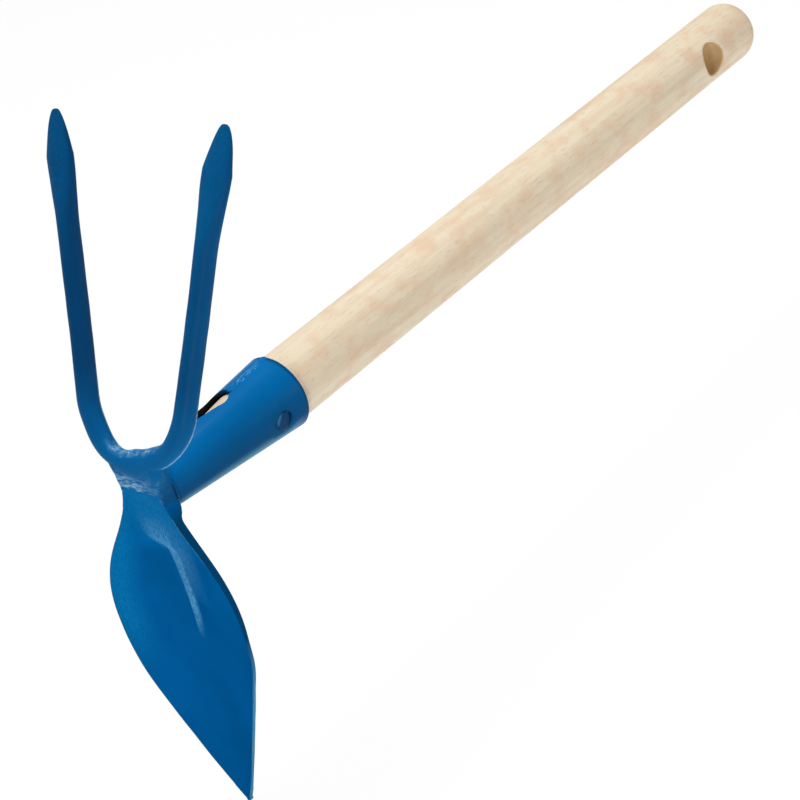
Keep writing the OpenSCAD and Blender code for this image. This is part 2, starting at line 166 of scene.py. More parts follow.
# Welds at the head. The neck's bead is laid across the front, round the corners and on along both sides,
# and the way along it counts from the middle to these ends. Its toe lies on the neck, its top on the bar
WELD_GAP = 0.05
BEAD_FRONT, BEAD_CORNER, BEAD_END = 0.85, 1.15, 2.0
BEAD_TOE, TOE_TILT, TOE_CORNER_DROP, TOE_BACK_DROP, TOE_WAVER = 2.2, 0.8, 2.9, 1.5, 0.5
TOE_SUNK, TOE_CORNER_OUT, TOE_RUN_BACK, TOE_LEAN = 0.1, 0.42, 5.8, 0.15
TOP_SHARE, TOP_CORNER_RUN, TOP_BACK_RETURN, TOP_SUNK = 0.9, 5.0, 2.0, 0.3
TOP_ANGLE, TOP_CORNER_TURN, TOP_BACK_TURN = 88.0, 75.0, 40.0
ROOT_IN, ROOT_RUN_BACK, ROOT_CORNER_IN, ROOT_UP = 0.8, 5.2, 0.6, 0.3
BEAD_FULL, BEAD_FULL_SIDE, BEAD_LUMP, BEAD_TAPER, BEAD_END_LEAST = 4.0, 3.0, 0.25, 0.2, 0.04
SOCKET_BEAD, SOCKET_BEAD_FULL = 1.3, 0.7
SOCKET_RIPPLES, SOCKET_RIPPLE, SOCKET_LUMP = 25, 0.08, 0.15


def clamp01(t):
    return max(0.0, min(1.0, t))


def ease(t):
    """Runs smoothly from 0 to 1 while t does."""
    c = clamp01(t)
    return c * c * (3 - 2 * c)


def side_of(d):
    return LEFT if d >= 0 else RIGHT


def hump(at, middle, reach):
    """A smooth hump, 1 at its middle and 0 past its reach."""
    return ease(1 - abs(at - middle) / reach)


def lumps(at, rows):
    """The sum of humps, each row with its height, its middle and its reach."""
    return sum(height * hump(at, middle, reach) for height, middle, reach in rows)


# Materials


def paint(code):
    """Linear colour of an sRGB hex value."""
    parts = [int(code[i : i + 2], 16) / 255 for i in (1, 3, 5)]
    return [p / 12.92 if p <= 0.04045 else ((p + 0.055) / 1.055) ** 2.4 for p in parts] + [1.0]


# Painted shade that darkens the enamel up the tines
TINE_PAINTED_SHADE = paint("#033A64")
# Painted light, on faces that would take the light best
PAINTED_LIGHT_ENAMEL = paint("#0A6EA6")
# Painted highlight, on the blade's crease and the nail's high edge
PAINTED_HIGHLIGHT_ENAMEL = paint("#5298C4")
# Painted glints, on the inside of the fork's bend and on the neck's weld
PAINTED_GLINT_ENAMEL = paint("#84B6D6")
# Painted shade, on the blade's and the weld's sides, in the blade's hollow and over the socket
PAINTED_SHADE_ENAMEL = paint("#043A61")
# Painted shade on the nail's deep edge
NAIL_PAINTED_SHADE = paint("#022743")
# Painted pale reflection of the floor, on the blade's lower sides and the socket's underside
PAINTED_REFLECTION_ENAMEL = paint("#467F9C")
# Bare scale inside the socket, painted near-black for the shade in it
SCALE_AND_PAINTED_SHADE = paint("#10161A")
# A painted highlight line lies where the bar's skin turns edge-on to this direction, the way back to the
# camera
RIM_HIGHLIGHT_LOOK = (-0.605, -0.635, 0.481)


def connect(tree, node, links):
    """Puts a value, an output or a node's first output on each input named."""
    for socket, value in links.items():
        if isinstance(value, bpy.types.Node):
            value = next(output for output in value.outputs if output.enabled)
        if isinstance(value, bpy.types.NodeSocket):
            tree.links.new(value, node.inputs[socket])
        else:
            node.inputs[socket].default_value = value


def add(tree, kind, *links, **settings):
    """A shader node with its settings, and with links for its inputs in turn or one dictionary by name."""
    made = tree.nodes.new("ShaderNode" + kind)
    for name, value in settings.items():
        setattr(made, name, value)
    by_name = links and isinstance(links[0], dict)
    connect(tree, made, links[0] if by_name else dict(enumerate(links)))
    return made


def start_material(name):
    material = bpy.data.materials.new(name)
    material.use_nodes = True
    return material, material.node_tree


def per_mm(size):
    """Texture scale for a pattern of this size in millimetres."""
    return 1 / (size * MM)


def all_of(tree, *shares):
    """What is left where every share holds: their product."""
    left = shares[0]
    for share in shares[1:]:
        left = add(tree, "Math", left, share, operation="MULTIPLY")
    return left


def laid_over(tree, ground, layers):
    """The ground colour with each shade laid over it by its share."""
    for share, shade in layers:
        ground = add(tree, "Mix", {"Factor": share, "A": ground, "B": shade}, data_type="RGBA")
    return ground


# Where a piece carries painted highlights, painted light or painted shade, from the place on it in metres and
# the way its skin faces there


def crease_highlight(tree, place, facing):
    """A painted highlight along the blade's crease, soft at the neck and crisp at mid blade, with a fainter
    brushed painted highlight to the right of it and a painted highlight line on the right corner of the neck."""
    across, height = add(tree, "SeparateXYZ", place).outputs[1:3]
    ahead, aside = add(tree, "SeparateXYZ", facing).outputs[0:2]
    slant = add(tree, "Math", height, 0.2, 7.0 * MM, operation="MULTIPLY_ADD")
    left = add(tree, "Math", slant, 2.2 * MM, operation="MAXIMUM")
    inside_left = add(tree, "Math", left, across, operation="SUBTRACT")
    blur = add(tree, "MapRange", height, -26 * MM, -12 * MM, 0.8 * MM, 6 * MM)
    crisp = add(tree, "Math", inside_left, blur, operation="DIVIDE")
    right = add(tree, "Math", height, -0.15, -9.5 * MM, operation="MULTIPLY_ADD")
    inside_right = add(tree, "Math", across, right, operation="SUBTRACT")
    patch = all_of(
        tree,
        add(tree, "MapRange", inside_right, -13 * MM, -1 * MM, 0.0, 0.5),
        add(tree, "MapRange", height, -50 * MM, -30 * MM),
    )
    strip = add(tree, "MapRange", inside_right, -2.0 * MM, 0.6 * MM)
    band = all_of(
        tree,
        add(tree, "Math", strip, patch, operation="MAXIMUM"),
        add(tree, "MapRange", crisp, -0.5, 0.5),
        add(tree, "MapRange", height, -68 * MM, -56 * MM),
        add(tree, "MapRange", height, -6 * MM, -22 * MM, 0.05, 1.0),
        add(tree, "MapRange", height, 8 * MM, 0.0),
        add(tree, "MapRange", ahead, -0.2, -0.6),
    )
    corner = all_of(
        tree,
        add(tree, "MapRange", ahead, -0.35, -0.5),
        add(tree, "MapRange", aside, -0.35, -0.5),
        add(tree, "MapRange", height, -26 * MM, -16 * MM),
        add(tree, "MapRange", height, 0.0, -5 * MM),
    )
    return add(tree, "Math", band, corner, operation="MAXIMUM")


def left_wing(tree, place, facing):
    """The outer strip of the blade's left wing and the flat of the neck, which take the light best."""
    across, height = add(tree, "SeparateXYZ", place).outputs[1:3]
    ahead = add(tree, "SeparateXYZ", facing).outputs["X"]
    slant = add(tree, "Math", height, -0.4, 5.5 * MM, operation="MULTIPLY_ADD")
    inner = add(tree, "Math", slant, 24.0 * MM, operation="MINIMUM")
    wing = all_of(
        tree,
        add(tree, "MapRange", add(tree, "Math", across, inner, operation="SUBTRACT"), -4 * MM, 5 * MM),
        add(tree, "MapRange", height, -90 * MM, -62 * MM),
    )
    neck = add(tree, "MapRange", height, -26 * MM, -6 * MM, 0.0, 0.8)
    return all_of(
        tree,
        add(tree, "Math", wing, neck, operation="MAXIMUM"),
        add(tree, "MapRange", ahead, -0.2, -0.6),
    )


def bend_glints(tree, place, facing):
    """Painted glints in speckles on the upward-facing inside of the bend, and a painted highlight line down
    the far edge of its right limb.
    """
    across, height = add(tree, "SeparateXYZ", place).outputs[1:3]
    aside, upward = add(tree, "SeparateXYZ", facing).outputs[1:3]
    drawn = add(tree, "Mapping", {"Vector": place, "Scale": (1.0, 0.4, 1.0)})
    speckles = add(tree, "TexNoise", {"Vector": drawn, "Scale": per_mm(1.6), "Detail": 4.0})
    inside = all_of(
        tree,
        add(tree, "MapRange", speckles, 0.44, 0.6, 0.1, 0.9),
        add(tree, "MapRange", height, 30 * MM, 23 * MM),
        add(tree, "MapRange", across, -17 * MM, -10 * MM),
        add(tree, "MapRange", across, 15 * MM, 8 * MM),
        add(tree, "MapRange", upward, 0.6, 0.9),
    )
    # Painted highlight line on the far edge of the right limb
    edge_on = add(tree, "VectorMath", facing, RIM_HIGHLIGHT_LOOK, operation="DOT_PRODUCT")
    edge = all_of(
        tree,
        add(tree, "MapRange", edge_on, 0.4, 0.2, 0.0, 0.9),
        add(tree, "MapRange", edge_on, -0.3, -0.05),
        add(tree, "MapRange", aside, -0.2, -0.4),
        add(tree, "MapRange", height, 46 * MM, 30 * MM),
    )
    return add(tree, "Math", inside, edge, operation="MAXIMUM")


def spear_faces(tree, place, facing):
    """The flat fronts of the spear points, which take more light than the bar below them."""
    height = add(tree, "SeparateXYZ", place).outputs["Z"]
    fork_front = (-math.cos(LEAN), 0.0, math.sin(LEAN))
    to_front = add(tree, "VectorMath", facing, fork_front, operation="DOT_PRODUCT")
    return all_of(
        tree,
        add(tree, "MapRange", to_front, 0.75, 0.97, 0.0, 0.22),
        add(tree, "MapRange", height, 78 * MM, 104 * MM),
    )


def blade_side_shades(tree, place, facing):
    """The narrow sides of the blade: painted shade on them above and a painted pale reflection on them below.
    Painted shade lies in the hollow to the left of the crease too."""
    across, height = add(tree, "SeparateXYZ", place).outputs[1:3]
    aside = add(tree, "SeparateXYZ", facing).outputs["Y"]
    sideways = add(tree, "MapRange", add(tree, "Math", aside, operation="ABSOLUTE"), 0.55, 0.8)
    ground = add(tree, "MapRange", height, -52 * MM, -78 * MM)
    upper_sides = add(tree, "MapRange", height, -1 * MM, -8 * MM, 0.0, 0.95)
    side_shade = all_of(tree, sideways, add(tree, "Math", upper_sides, ground, operation="SUBTRACT"))
    # Painted shade in the hollow to the left of the crease
    hollow = all_of(
        tree,
        add(tree, "MapRange", across, 2 * MM, 5 * MM, 0.0, 0.3),
        add(tree, "MapRange", across, 20 * MM, 9 * MM),
        add(tree, "MapRange", height, -20 * MM, -27 * MM),
        add(tree, "MapRange", height, -66 * MM, -40 * MM),
    )
    shaded = add(tree, "Math", side_shade, hollow, operation="MAXIMUM")
    return [(shaded, PAINTED_SHADE_ENAMEL), (all_of(tree, sideways, ground), PAINTED_REFLECTION_ENAMEL)]


def socket_shades(tree, place, facing):
    """Painted shade on the socket: along the mouth's rim, in the nail's dimple and over the lower side of the
    cone.
    Its lowest part has a painted pale reflection, and its inside is bare scale painted near-black for its
    shade."""
    along, across = add(tree, "SeparateXYZ", place).outputs[0:2]
    upward = add(tree, "SeparateXYZ", facing).outputs["Z"]
    # Painted shade along the mouth's rim, in the nail's dimple and on the cone's lower side
    rim = add(tree, "MapRange", along, -2.2 * MM, -0.8 * MM, 0.0, 0.85)
    dimple_shade_middle = ((NAIL_X - 1.5) * MM, 0.0, -3.6 * MM)
    from_dimple_shade = add(tree, "VectorMath", place, dimple_shade_middle, operation="SUBTRACT")
    oval = add(tree, "VectorMath", from_dimple_shade, (per_mm(6.0), 0.0, per_mm(4.6)), operation="MULTIPLY")
    spread = add(tree, "VectorMath", oval, oval, operation="DOT_PRODUCT")
    dimple_shade = all_of(
        tree,
        add(tree, "MapRange", spread, 1.1, 0.4, 0.0, 0.75),
        add(tree, "MapRange", across, -6 * MM, -9 * MM),
    )
    lower = add(tree, "MapRange", upward, 1.1, -0.25, 0.0, 0.86)
    shaded = add(tree, "Math", rim, dimple_shade, operation="MAXIMUM")
    shaded = add(tree, "Math", shaded, lower, operation="MAXIMUM")
    # Painted pale reflection of the floor on the socket's lowest part
    floor_reflection = all_of(
        tree,
        add(tree, "MapRange", upward, -0.38, -0.7, 0.0, 0.92),
        add(tree, "MapRange", along, 0.0, -5 * MM),
    )
    # Bare scale inside, painted near-black as its shade
    off_axis = add(tree, "VectorMath", place, (0.0, 1.0, 1.0), operation="MULTIPLY")
    outward = add(tree, "VectorMath", facing, off_axis, operation="DOT_PRODUCT")
    inside = add(tree, "MapRange", outward, 0.0, -3 * MM)
    return [(shaded, PAINTED_SHADE_ENAMEL), (floor_reflection, PAINTED_REFLECTION_ENAMEL), (inside, SCALE_AND_PAINTED_SHADE)]


def nail_shades(tree, place, facing):
    """The nail's head sits askew: painted shade on its deep edge and a painted highlight on its high one."""
    head_middle = (NAIL_X * MM, 0.0, -2.7 * MM)
    from_middle = add(tree, "VectorMath", place, head_middle, operation="SUBTRACT")
    high = add(tree, "VectorMath", from_middle, (-0.8, 0.0, 0.6), operation="DOT_PRODUCT")
    return [
        (add(tree, "MapRange", high, 1.0 * MM, -2.2 * MM, 0.0, 0.9), NAIL_PAINTED_SHADE),
        (add(tree, "MapRange", high, 2.4 * MM, 3.6 * MM, 0.0, 0.35), PAINTED_HIGHLIGHT_ENAMEL),
    ]


def seam_glints(tree, place, facing):
    """Painted glints in flecks on the rough end of the seam's weld, next to the slot."""
    along = add(tree, "SeparateXYZ", place).outputs["X"]
    flecks = add(tree, "TexNoise", {"Vector": place, "Scale": per_mm(1.3), "Detail": 3.0})
    return all_of(
        tree,
        add(tree, "MapRange", flecks, 0.46, 0.58),
        add(tree, "MapRange", along, -3 * MM, -9 * MM, 0.0, 0.95),
        add(tree, "MapRange", along, -20 * MM, -16 * MM),
    )


def weld_highlights(tree, place, facing):
    """Thin strokes of painted highlight on the weld, slanted like its frozen layers, stronger on its left and
    on faces turned forward.
    """
    across, height = add(tree, "SeparateXYZ", place).outputs[1:3]
    ahead = add(tree, "SeparateXYZ", facing).outputs["X"]
    slant = (math.radians(-25), 0.0, 0.0)
    drawn = add(tree, "Mapping", {"Vector": place, "Rotation": slant, "Scale": (1.0, 0.3, 1.0)})
    streaks = add(tree, "TexNoise", {"Vector": drawn, "Scale": per_mm(1.2), "Detail": 3.0})
    return all_of(
        tree,
        add(tree, "MapRange", streaks, 0.42, 0.6, 0.0, 0.95),
        add(tree, "MapRange", height, 13 * MM, 8.5 * MM),
        add(tree, "MapRange", across, -7 * MM, 2 * MM, 0.2, 1.0),
        add(tree, "MapRange", ahead, -0.1, -0.5, 0.25, 1.0),
    )


def weld_side_shade(tree, place, facing):
    """Painted shade on the sides of the neck's weld, as on the neck below."""
    height = add(tree, "SeparateXYZ", place).outputs["Z"]
    aside = add(tree, "SeparateXYZ", facing).outputs["Y"]
    shaded = all_of(
        tree,
        add(tree, "MapRange", add(tree, "Math", aside, operation="ABSOLUTE"), 0.5, 0.85),
        add(tree, "MapRange", height, 12 * MM, 2 * MM, 0.1, 0.7),
    )
    return [(shaded, PAINTED_SHADE_ENAMEL)]


def enamel_on_steel(
    name,
    body,
    deep,
    depth,
    rough,
    gloss,
    grain=1.3,
    lit=None,
    painted_glints=None,
    glint_colour=PAINTED_HIGHLIGHT_ENAMEL,
    painted_light_and_shade=None,
):
    """Stove enamel dipped over forged steel: a deep blue that follows the hammer marks under it, with a fine
    grain, painted shade that darkens it up the tines, and painted light, painted highlights and painted shade
    where the masks lay them. The grain's width and depth are in millimetres."""
    material, tree = start_material(name)
    coords = add(tree, "TexCoord").outputs
    place, facing = coords["Object"], coords["Normal"]
    across, height = add(tree, "SeparateXYZ", place).outputs[1:3]
    clouds = add(tree, "TexNoise", {"Vector": place, "Scale": per_mm(26), "Detail": 3.0})
    # Painted shade, darkening the enamel up the tines and more so towards the left
    tine_shade = all_of(
        tree,
        add(tree, "MapRange", height, 18 * MM, 46 * MM),
        add(tree, "MapRange", across, -20 * MM, 20 * MM, 0.68, 1.0),
    )
    layers = [(add(tree, "MapRange", clouds, 0.3, 0.7), paint(body)), (tine_shade, TINE_PAINTED_SHADE)]
    hammered = add(tree, "TexNoise", {"Vector": place, "Scale": per_mm(7)})
    waves = add(tree, "Bump", {"Height": hammered, "Strength": 0.35, "Distance": 0.35 * MM})
    peel = add(tree, "TexNoise", {"Vector": place, "Scale": per_mm(grain)})
    skin = add(tree, "Bump", {"Height": peel, "Strength": 0.5, "Distance": depth * MM, "Normal": waves})
    slant = (math.radians(28), 0.0, 0.0)
    brushed = add(tree, "Mapping", {"Vector": place, "Rotation": slant, "Scale": (1.0, 1.0, 0.5)})
    strokes = add(tree, "TexNoise", {"Vector": brushed, "Scale": per_mm(0.8), "Detail": 4.0})
    # Painted light, in streaks, where the lit mask holds
    if lit:
        streaky = add(tree, "MapRange", strokes, 0.3, 0.7, 0.35, 1.0)
        layers.append((all_of(tree, lit(tree, place, facing), streaky), PAINTED_LIGHT_ENAMEL))
    # Painted highlights and glints in strokes, with a bump that follows them
    if painted_glints:
        glint_strokes = add(tree, "MapRange", strokes, 0.36, 0.62, 0.3, 1.0)
        glint_share = all_of(tree, painted_glints(tree, place, facing), glint_strokes)
        layers.append((glint_share, glint_colour))
        skin = add(tree, "Bump", {"Height": glint_share, "Strength": 0.6, "Distance": 0.25 * MM, "Normal": skin})
    # Painted shade, painted reflection and painted highlights, from the piece's own masks
    if painted_light_and_shade:
        layers += painted_light_and_shade(tree, place, facing)
    connect(
        tree,
        tree.nodes["Principled BSDF"],
        {
            "Base Color": laid_over(tree, paint(deep), layers),
            "Roughness": add(tree, "MapRange", peel, 0.0, 1.0, rough - 0.07, rough + 0.1),
            "Normal": skin,
            "IOR": 1.52,
            "Specular IOR Level": gloss,
        },
    )
    return material


def wood_grain(tree, place, share, size, detail):
    """A pattern of this size in millimetres, with lengths along the handle shrunk so that it is drawn out."""
    drawn = add(tree, "Mapping", {"Vector": place, "Scale": (share, 1.0, 1.0)})
    return add(tree, "TexNoise", {"Vector": drawn, "Scale": per_mm(size), "Detail": detail})


def turned_beech(name, pale, tan, blush, fleck, inside=None):
    """Turned and sanded beech without varnish: a pale even wood with soft streaks along the handle,
    pinkish patches and the short brown flecks of its rays."""
    material, tree = start_material(name)
    place = add(tree, "TexCoord").outputs["Object"]
    streaks = wood_grain(tree, place, 0.05, 3.2, 4.0)
    patches = wood_grain(tree, place, 0.7, 8.0, 2.0)
    # Real flecks are 0.1 mm wide, too fine to show, so they are drawn 0.5 mm wide and 3 mm long
    dashes = wood_grain(tree, place, 0.17, 0.8, 1.0)
    layers = [
        (add(tree, "MapRange", streaks, 0.35, 0.7, 0.0, 0.75), paint(tan)),
        (add(tree, "MapRange", patches, 0.46, 0.7, 0.0, 0.65), paint(blush)),
        (add(tree, "MapRange", dashes, 0.6, 0.74, 0.0, 0.3), paint(fleck)),
    ]
    # Painted light on the middle of the hole's wall
    if inside:
        across = add(tree, "SeparateXYZ", place).outputs["Y"]
        from_middle = add(tree, "Math", across, operation="ABSOLUTE")
        layers.append((add(tree, "MapRange", from_middle, 10 * MM, 4 * MM), paint(inside)))
    connect(
        tree,
        tree.nodes["Principled BSDF"],
        {
            "Base Color": laid_over(tree, paint(pale), layers),
            "Roughness": add(tree, "MapRange", streaks, 0.0, 1.0, 0.5, 0.68),
            "Normal": add(tree, "Bump", {"Height": dashes, "Strength": 0.25, "Distance": 0.12 * MM}),
            "IOR": 1.45,
        },
    )
    return material


head_enamel = enamel_on_steel(
    "enamel_on_steel", "#0366A5", "#025D98", depth=0.05, rough=0.3, gloss=0.02, painted_light_and_shade=socket_shades
)
fork_enamel = enamel_on_steel(
    "enamel_on_forged_bar",
    "#045A90",
    "#025083",
    depth=0.06,
    rough=0.42,
    gloss=0.03,
    lit=spear_faces,
    painted_glints=bend_glints,
    glint_colour=PAINTED_GLINT_ENAMEL,
)
blade_enamel = enamel_on_steel(
    "enamel_on_forged_blade",
    "#015794",
    "#014F88",
    depth=0.08,
    rough=0.34,
    gloss=0.0,
    lit=left_wing,
    painted_glints=crease_highlight,
    painted_light_and_shade=blade_side_shades,
)
weld_enamel = enamel_on_steel(
    "enamel_on_weld",
    "#045A90",
    "#025083",
    depth=0.1,
    rough=0.36,
    gloss=0.02,
    grain=1.9,
    painted_glints=weld_highlights,
    glint_colour=PAINTED_GLINT_ENAMEL,
    painted_light_and_shade=weld_side_shade,
)
seam_enamel = enamel_on_steel(
    "enamel_on_seam", "#0364A2", "#025B95", depth=0.08, rough=0.3, gloss=0.02, painted_glints=seam_glints
)
# Painted shade: the nail's enamel is darker than the socket's, for its head sunk in the dimple
nail_enamel = enamel_on_steel(
    "enamel_on_nail", "#023B66", "#023158", depth=0.1, rough=0.34, gloss=0.03, grain=1.1, painted_light_and_shade=nail_shades
)
beech = turned_beech("turned_beech", "#D1C4AC", "#C4B195", "#CAA98C", "#A98B69")
# The pale middle of the hole's wall is painted light
drilled_beech = turned_beech("drilled_beech", "#CDB083", "#BF9C6C", "#C29F72", "#A07D54", inside="#EED8AC")


# Shaping


def draw_on(bm, edges, place):
    """Draws a loop of edges on into a new loop. Its vertices take over their neighbours' entries in place."""
    drawn = bmesh.ops.extrude_edge_only(bm, edges=edges)["geom"]
    moved = {}
    for v in (g for g in drawn if isinstance(g, bmesh.types.BMVert)):
        for e in v.link_edges:
            if e.other_vert(v) in place:
                moved[v] = place[e.other_vert(v)]
    new_edges = (g for g in drawn if isinstance(g, bmesh.types.BMEdge))
    return [e for e in new_edges if all(v in moved for v in e.verts)], moved


def loft(rings, closed=False):
    """A skin that starts as a circle and is drawn on from ring to ring."""
    bm = bmesh.new()
    start = bmesh.ops.create_circle(bm, segments=len(rings[0]), radius=1.0)["verts"]
    place = {v: i for i, v in enumerate(start)}
    first_edges = edges = list(bm.edges)
    for v, i in place.items():
        v.co = rings[0][i]
    for ring in rings[1:]:
        edges, place = draw_on(bm, edges, place)
        for v, i in place.items():
            v.co = ring[i]
    if closed:
        bmesh.ops.bridge_loops(bm, edges=first_edges + edges)
    else:
        bmesh.ops.holes_fill(bm, edges=first_edges + edges, sides=0)
    return bm


def lathe(profile, foot, axis, across, steps):
    """A turned solid, from pairs of a length along the axis and a radius."""
    bm = bmesh.new()
    line = [bm.verts.new(foot + axis * along + across * r) for along, r in profile]
    edges = [bm.edges.new(pair) for pair in zip(line, line[1:])]
    bmesh.ops.spin(
        bm,
        geom=line + edges,
        cent=foot,
        axis=axis,
        dvec=(0, 0, 0),
        angle=2 * math.pi,
        steps=steps,
        use_merge=True,
        use_normal_flip=False,
        use_duplicate=False,
    )
    return bm


def soften(bm, offset, segments, angle):
    """Rounds every edge that is sharper than an angle."""
    sharp = [e for e in bm.edges if e.is_manifold and e.calc_face_angle(0.0) > math.radians(angle)]
    bmesh.ops.bevel(
        bm,
        geom=sharp,
        offset=offset,
        offset_type="OFFSET",
        segments=segments,
        profile=0.5,
        affect="EDGES",
        material=-1,
        clamp_overlap=True,
    )


def dent(bm, size, depth, keep=None):
    """Uneven hammer marks, all inwards and the same on every run."""
    bm.normal_update()
    marks = {v: (noise.noise(v.co / size) - 1) / 2 for v in bm.verts if keep is None or keep(v.co)}
    shift = {v: v.normal * depth * mark for v, mark in marks.items()}
    for v, move in shift.items():
        v.co += move


def finish_piece(name, bm, node, materials, sharp=38):
    """Merges, faces outwards, scales to metres and sets the piece in its CAD node's place."""
    bmesh.ops.remove_doubles(bm, verts=bm.verts, dist=0.002)
    bmesh.ops.recalc_face_normals(bm, faces=bm.faces)
    bmesh.ops.scale(bm, vec=(MM, MM, MM), verts=bm.verts)
    mesh = bpy.data.meshes.new(name)
    bm.to_mesh(mesh)
    bm.free()
    mesh.shade_smooth()
    mesh.set_sharp_from_angle(angle=math.radians(sharp))
    piece = bpy.data.objects.new(name, mesh)
    bpy.context.scene.collection.objects.link(piece)
    for material in materials:
        mesh.materials.append(material)
    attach(piece, "root")
    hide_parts(node)
    return piece


# Handle, with the rim of its hanging hole worn round

# The two mouths of the hole, by the way that ACROSS_HOLE points
RIGHT_MOUTH, LEFT_MOUTH = 1, -1
# The skin round a mouth is a square patch, a quarter of the way round the handle
HOLE_PITCH = 2 * math.pi * HANDLE_R / HANDLE_STEPS
HOLE_PATCH = HANDLE_STEPS // 4
HOLE_REACH = HOLE_PATCH * HOLE_PITCH / 2


def handle_profile():
    """Lengths and radii from the nose in the socket to the butt, closer together round the hanging hole."""
    turns = [math.radians(90 * i / BUTT_STEPS) for i in range(BUTT_STEPS + 1)]
    flat = HANDLE_R - BUTT_ROUND
    tip = [(0.0, 0.0), (0.0, NOSE_TIP_R - NOSE_CHAMFER), (NOSE_CHAMFER, NOSE_TIP_R), (NOSE_LEN, NOSE_R)]
    return (
        [(x - TANG_LEN, r) for x, r in tip]
        + [(-TANG_FROM, TANG_R), (0.0, HANDLE_R)]
        + [((HANG_X - HOLE_REACH) * i / SHAFT_STEPS, HANDLE_R) for i in range(1, SHAFT_STEPS)]
        + [(HANG_X - HOLE_REACH + HOLE_PITCH * i, HANDLE_R) for i in range(HOLE_PATCH + 1)]
        + [(HANDLE_END - BUTT_ROUND * (1 - math.sin(a)), flat + BUTT_ROUND * math.cos(a)) for a in turns]
        + [(HANDLE_END, 0.0)]
    )


def on_handle(side, u, v, depth):
    """A point under the handle's skin, near one mouth of the hole."""
    height = math.sqrt(HANDLE_R**2 - v**2) - depth
    return Vector((HANG_X + u, 0, 0)) + ACROSS_HOLE * (side * height) + OVER_HOLE * v


def at_mouth(p, side):
    """Whether a point of the skin lies in the square patch round one mouth of the hole."""
    quarter = HANDLE_R * math.cos(math.pi / 4)
    outer = p.dot(ACROSS_HOLE) * side > 0.999 * quarter
    return outer and abs(p.x - HANG_X) < HOLE_REACH and abs(p.dot(OVER_HOLE)) < quarter


def open_mouth(bm, side):
    """Cuts one mouth of the hole, works its rim round and gives the loop where the wall starts."""
    cut = [f for f in bm.faces if at_mouth(f.calc_center_median(), side)]
    bmesh.ops.delete(bm, geom=cut, context="FACES")
    open_edges = (e for e in bm.edges if e.is_boundary)
    border = [e for e in open_edges if all(v.co.dot(ACROSS_HOLE) * side > 0 for v in e.verts)]
    rim = bmesh.ops.create_circle(bm, segments=HANDLE_STEPS, radius=HANG_R + HANG_RIM)["verts"]
    loop = list({e for v in rim for e in v.link_edges})
    flat = {v: (v.co.x, v.co.y) for v in rim}
    for v, (x, y) in flat.items():
        v.co = on_handle(side, x, y, 0.0)
    bmesh.ops.bridge_loops(bm, edges=border + loop)
    for i in range(1, RIM_STEPS + 1):
        a = math.radians(90 * i / RIM_STEPS)
        shrink = (HANG_R + HANG_RIM * (1 - math.sin(a))) / (HANG_R + HANG_RIM)
        loop, flat = draw_on(bm, loop, flat)
        for v, (x, y) in flat.items():
            v.co = on_handle(side, x * shrink, y * shrink, HANG_RIM * (1 - math.cos(a)))
    return loop


def handle_piece():
    bm = lathe(handle_profile(), Vector((0, 0, 0)), HANDLE_WAY, ACROSS_HOLE, HANDLE_STEPS)
    bmesh.ops.remove_doubles(bm, verts=bm.verts, dist=0.001)
    mouths = open_mouth(bm, RIGHT_MOUTH) + open_mouth(bm, LEFT_MOUTH)
    for f in bmesh.ops.bridge_loops(bm, edges=mouths)["faces"]:
        f.material_index = 1
    return finish_piece("handle_beech", bm, "handle", [beech, drilled_beech])


handle_piece()


# Socket: the rolled sheet of the CAD node, with its cut edges rounded


def skin_radius(x):
    return MOUTH_OUT + CONE_SLOPE * x


def hammered_up(p):
    """A point of the socket after its underside is hammered up."""
    r = skin_radius(p.x)
    return p + Vector((0, 0, UNDER_RISE * clamp01(-p.x / SOCKET_LEN) * clamp01((r - p.z) / (2 * r))))


def dimpled(p):
    """A point of the socket after the nail's head is driven in."""
    if p.yz.length < skin_radius(p.x) - SHEET_T / 2 or p.dot(NAIL_OUTWARD) < 0:
        return p
    along = p.x - NAIL_X
    over = p.dot(NAIL_OUTWARD.cross(HANDLE_WAY))
    reach = math.hypot(along / (DIMPLE_LONGER if along < 0 else 1.0), over)
    return p - NAIL_OUTWARD * DIMPLE_DEPTH * ease(1 - reach / DIMPLE_R)


def socket_piece():
    bm = bmesh.new()
    bm.from_mesh(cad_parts["socket"].data)
    bmesh.ops.scale(bm, vec=(1 / MM, 1 / MM, 1 / MM), verts=bm.verts)
    bmesh.ops.remove_doubles(bm, verts=bm.verts, dist=0.005)
    bmesh.ops.dissolve_limit(bm, angle_limit=math.radians(0.6), verts=bm.verts, edges=bm.edges)
    soften(bm, SHEET_EDGE, 3, 50)
    for i in range(DIMPLE_CUTS):
        cut_at = (NAIL_X + DIMPLE_R * (CUTS_SPAN * i / DIMPLE_CUTS - CUTS_BEFORE), 0, 0)
        whole = bm.verts[:] + bm.edges[:] + bm.faces[:]
        bmesh.ops.bisect_plane(bm, geom=whole, plane_co=cut_at, plane_no=HANDLE_WAY)
    for v in bm.verts:
        v.co = hammered_up(dimpled(v.co))
    return finish_piece("socket_sheet", bm, "socket", [head_enamel])


socket_piece()


# Seam weld: a rippled bead from the slot to the mouth


